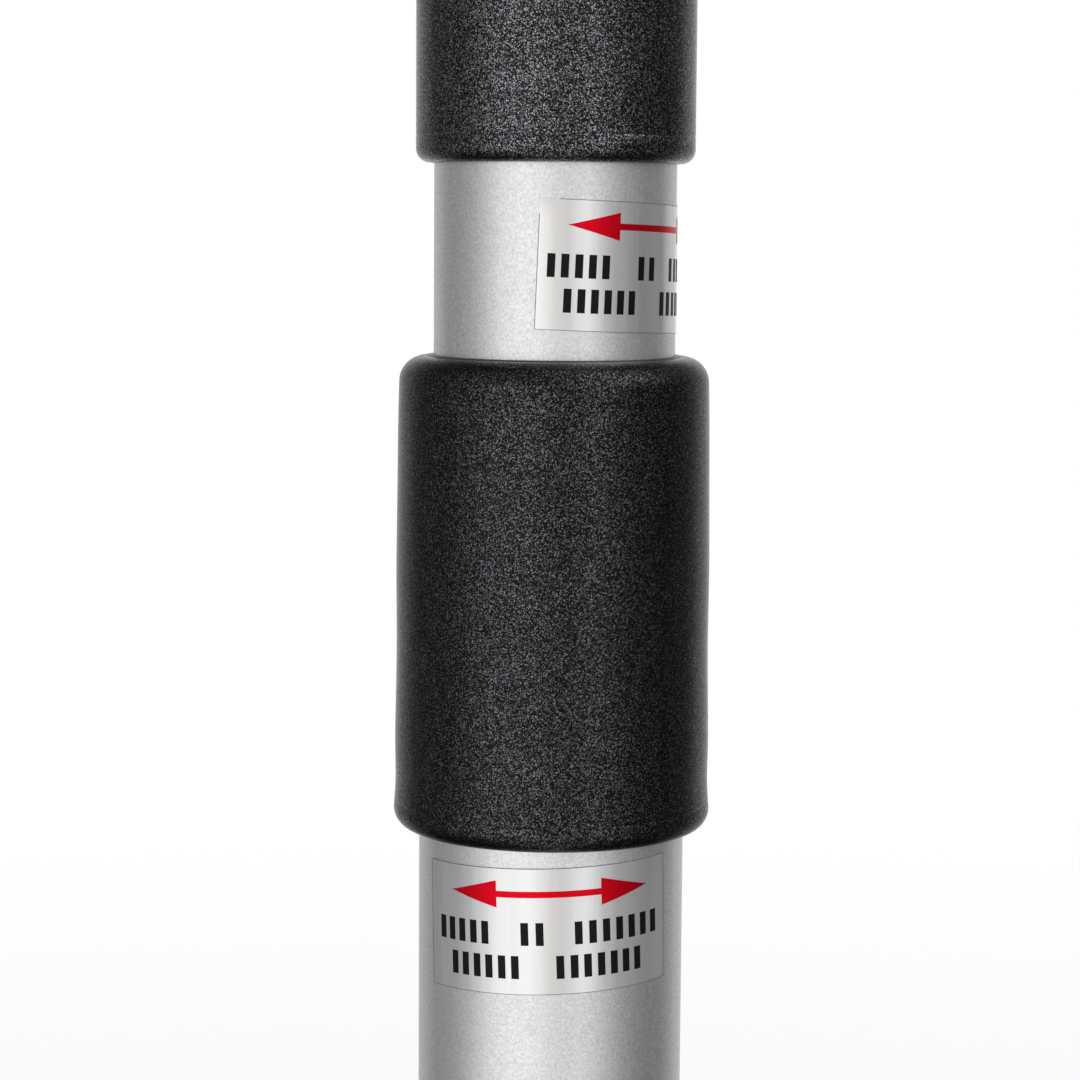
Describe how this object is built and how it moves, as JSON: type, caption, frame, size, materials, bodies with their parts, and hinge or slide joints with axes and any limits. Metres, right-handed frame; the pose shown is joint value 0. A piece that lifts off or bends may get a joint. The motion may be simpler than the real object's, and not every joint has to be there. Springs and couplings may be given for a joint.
{
  "type": "telescopic boom pole",
  "caption": "Telescopic aluminium boom pole with black twist-lock collars, foil lock labels, a rubber butt cap and a threaded microphone stud at the tip.",
  "frame": {"origin": "centre of the butt cap's ground face, on the pole's axis", "axes": "+Z along the pole from the butt to the tip; -Y is the front, the side of the lowest label"},
  "size_m": [0.0378, 0.0378, 0.7256],
  "materials": {
    "tube_aluminium": "satin bead-blasted, clear anodised",
    "grip_black": "fine moulded grain, matt black",
    "wiper_rubber": "smooth matt black",
    "cap_rubber": "matt black",
    "label_foil": "glossy foil sticker with a printed double-headed arrow",
    "acetal": "machined natural acetal",
    "lock_aluminium": "turned",
    "spring_steel": "oiled spring steel",
    "steel": "zinc plated",
    "tip_black": "black anodised"
  },
  "bodies": {
    "base": {"tube_1": "tube_aluminium", "butt_cap": "cap_rubber", "butt_plug": "lock_aluminium", "butt_bumper": "wiper_rubber", "butt_screw": "steel", "lock_1_ferrule": "lock_aluminium", "lock_1_collet": "acetal", "label_1": "label_foil"},
    "collar_1": {"collar_1_grip": "grip_black", "collar_1_cam_sleeve": "lock_aluminium", "collar_1_retaining_ring": "spring_steel", "collar_1_wiper": "wiper_rubber"},
    "collar_2": {"collar_2_grip": "grip_black", "collar_2_cam_sleeve": "lock_aluminium", "collar_2_retaining_ring": "spring_steel", "collar_2_wiper": "wiper_rubber"},
    "collar_3": {"collar_3_grip": "grip_black", "collar_3_cam_sleeve": "lock_aluminium", "collar_3_retaining_ring": "spring_steel", "collar_3_wiper": "wiper_rubber"},
    "collar_4": {"collar_4_grip": "grip_black", "collar_4_cam_sleeve": "lock_aluminium", "collar_4_retaining_ring": "spring_steel", "collar_4_wiper": "wiper_rubber"},
    "section_2": {"tube_2": "tube_aluminium", "foot_guide_2": "acetal", "lock_2_ferrule": "lock_aluminium", "lock_2_collet": "acetal", "label_2": "label_foil"},
    "section_3": {"tube_3": "tube_aluminium", "foot_guide_3": "acetal", "lock_3_ferrule": "lock_aluminium", "lock_3_collet": "acetal", "label_3": "label_foil"},
    "section_4": {"tube_4": "tube_aluminium", "foot_guide_4": "acetal", "lock_4_ferrule": "lock_aluminium", "lock_4_collet": "acetal", "label_4": "label_foil"},
    "section_5": {"tube_5": "tube_aluminium", "foot_guide_5": "acetal", "tip_cap": "tip_black", "tip_stud": "steel", "tip_pin": "steel", "tip_washer": "acetal"},
    "tip_nut": {"tip_nut": "tip_black"}
  },
  "joints": [
    {"name": "section_2_slide", "type": "slide", "parent": "base", "child": "section_2", "axis": [0, 0, 1], "range_m": [0, 0.33]},
    {"name": "section_3_slide", "type": "slide", "parent": "section_2", "child": "section_3", "axis": [0, 0, 1], "range_m": [0, 0.405]},
    {"name": "section_4_slide", "type": "slide", "parent": "section_3", "child": "section_4", "axis": [0, 0, 1], "range_m": [0, 0.48]},
    {"name": "section_5_slide", "type": "slide", "parent": "section_4", "child": "section_5", "axis": [0, 0, 1], "range_m": [0, 0.555]},
    {"name": "collar_1_twist", "type": "hinge", "parent": "base", "child": "collar_1", "pos_m": [0, 0, 0.39912], "axis": [0, 0, 1], "range_deg": [-45, 45]},
    {"name": "collar_2_twist", "type": "hinge", "parent": "section_2", "child": "collar_2", "pos_m": [0, 0, 0.47796], "axis": [0, 0, 1], "range_deg": [-45, 45]},
    {"name": "collar_3_twist", "type": "hinge", "parent": "section_3", "child": "collar_3", "pos_m": [0, 0, 0.5568], "axis": [0, 0, 1], "range_deg": [-45, 45]},
    {"name": "collar_4_twist", "type": "hinge", "parent": "section_4", "child": "collar_4", "pos_m": [0, 0, 0.63564], "axis": [0, 0, 1], "range_deg": [-45, 45]},
    {"name": "tip_nut_spin", "type": "hinge", "parent": "section_5", "child": "tip_nut", "pos_m": [0, 0, 0.71], "axis": [0, 0, 1], "continuous": true}
  ]
}
